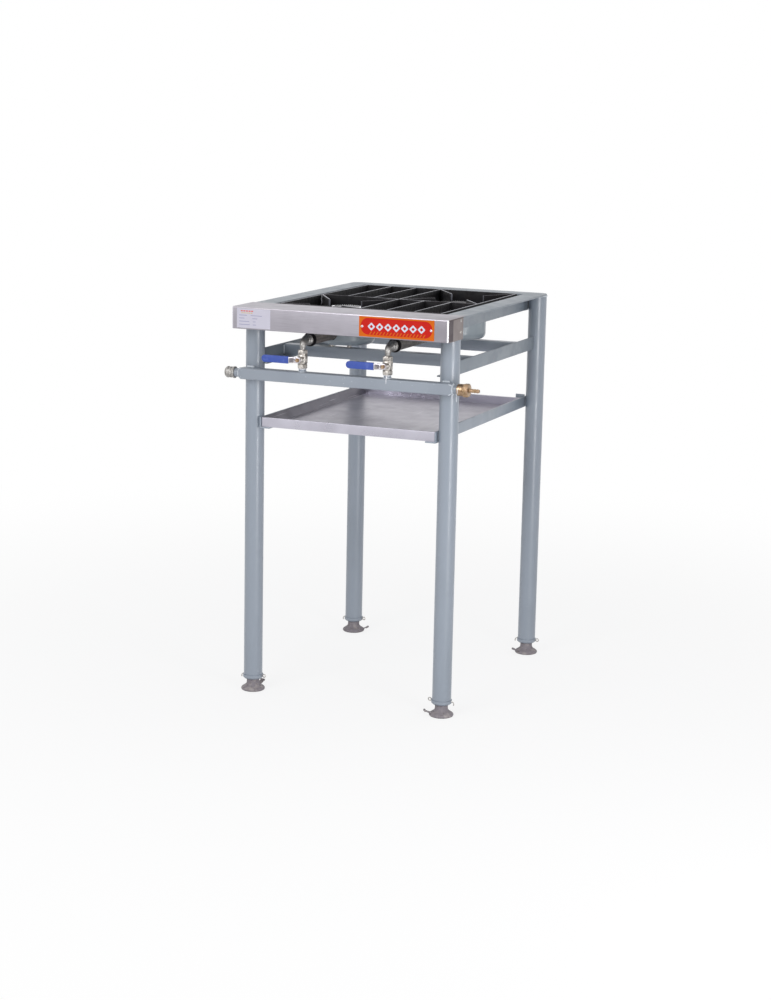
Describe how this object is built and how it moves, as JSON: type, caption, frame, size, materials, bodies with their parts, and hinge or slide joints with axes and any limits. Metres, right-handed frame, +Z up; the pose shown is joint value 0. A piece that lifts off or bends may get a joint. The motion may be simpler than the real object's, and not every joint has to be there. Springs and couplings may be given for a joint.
{
  "type": "gas boiling stand",
  "caption": "Free-standing two-burner gas boiling stand: tube legs on suction feet, stainless fascia, bar grate, lever gas valves and a sliding drip tray.",
  "frame": {"origin": "on the floor, in the middle of the stand's overall plan", "axes": "+Z up; -Y towards the cook, where the fascia and the gas valves are; +X to the cook's right, where the hose barb points"},
  "size_m": [0.596, 0.679, 0.88],
  "materials": {
    "paint": "smooth grey-blue stoved enamel, semi-gloss",
    "stainless": "brushed along the sheet's length",
    "plated_steel": "zinc plated",
    "galvanised_iron": "hot-dip galvanised casting",
    "nickel": "nickel plated, satin",
    "brass": "turned brass",
    "lever_steel": "zinc-plated strip",
    "blue_vinyl": "dipped vinyl",
    "ptfe": "white PTFE",
    "rubber": "soft grey rubber",
    "printed_plate": "printed enamel, gloss",
    "label": "white film label",
    "bowl_paint": "silver heat-resisting paint",
    "burner_steel": "dull dark steel pipe",
    "cast_iron": "black enamel, worn on its top edges",
    "cap_iron": "machined casting"
  },
  "bodies": {
    "stand": {"leg_front_left": "paint", "leg_front_right": "paint", "leg_rear_left": "paint", "leg_rear_right": "paint", "leg_end_rings": "paint", "suction_feet": "rubber", "foot_split_pins": "plated_steel", "top_rail_front": "paint", "top_rail_rear": "paint", "top_rail_left": "paint", "top_rail_right": "paint", "grate_lugs": "paint", "mid_rail_left": "paint", "mid_rail_right": "paint", "cross_rail_front": "paint", "cross_rail_rear": "paint", "tray_runner_left": "paint", "tray_runner_right": "paint", "tray_stops": "paint", "fascia_panel": "stainless", "fascia_rivets": "plated_steel", "name_plate": "printed_plate", "data_label": "label", "gas_manifold": "paint", "valve_nipples": "paint", "manifold_cap": "galvanised_iron", "inlet_bush": "brass", "hose_barb": "brass", "left_valve_body": "nickel", "right_valve_body": "nickel", "valve_end_pieces": "nickel", "valve_seats": "ptfe", "left_elbow": "galvanised_iron", "right_elbow": "galvanised_iron", "gas_jets": "brass", "left_venturi": "burner_steel", "right_venturi": "burner_steel", "front_burner_bowl": "bowl_paint", "rear_burner_bowl": "bowl_paint", "front_burner_head": "cast_iron", "rear_burner_head": "cast_iron", "burner_bolts": "plated_steel"},
    "left_valve_handle": {"left_valve_ball": "nickel", "left_valve_stem": "brass", "left_valve_lever": "lever_steel", "left_lever_sleeve": "blue_vinyl", "left_lever_nut": "brass"},
    "right_valve_handle": {"right_valve_ball": "nickel", "right_valve_stem": "brass", "right_valve_lever": "lever_steel", "right_lever_sleeve": "blue_vinyl", "right_lever_nut": "brass"},
    "tray": {"drip_tray": "stainless"},
    "grate": {"grate_frame": "cast_iron", "grate_infill_bars": "cast_iron", "grate_fingers": "cast_iron"},
    "front_cap": {"front_burner_cap": "cap_iron"},
    "rear_cap": {"rear_burner_cap": "cap_iron"},
    "left_shutter": {"left_air_shutter": "cast_iron"},
    "right_shutter": {"right_air_shutter": "cast_iron"}
  },
  "joints": [
    {"name": "left_valve_turn", "type": "hinge", "parent": "stand", "child": "left_valve_handle", "pos_m": [-0.112, -0.317, 0.7705], "axis": [0, -1, 0], "range_deg": [0, 90]},
    {"name": "right_valve_turn", "type": "hinge", "parent": "stand", "child": "right_valve_handle", "pos_m": [0.088, -0.317, 0.7705], "axis": [0, -1, 0], "range_deg": [0, 90]},
    {"name": "tray_slide", "type": "slide", "parent": "stand", "child": "tray", "axis": [0, -1, 0], "range_m": [-0.022, 0.45]},
    {"name": "grate_lift", "type": "slide", "parent": "stand", "child": "grate", "axis": [0, 0, 1], "range_m": [0, 0.12]},
    {"name": "front_cap_lift", "type": "slide", "parent": "stand", "child": "front_cap", "axis": [0, 0, 1], "range_m": [0, 0.06]},
    {"name": "rear_cap_lift", "type": "slide", "parent": "stand", "child": "rear_cap", "axis": [0, 0, 1], "range_m": [0, 0.06]},
    {"name": "left_shutter_turn", "type": "hinge", "parent": "stand", "child": "left_shutter", "pos_m": [-0.112, -0.2597, 0.8095], "axis": [0, 1, 0], "range_deg": [0, 45]},
    {"name": "right_shutter_turn", "type": "hinge", "parent": "stand", "child": "right_shutter", "pos_m": [0.088, -0.2597, 0.8095], "axis": [0, 1, 0], "range_deg": [0, 45]}
  ]
}
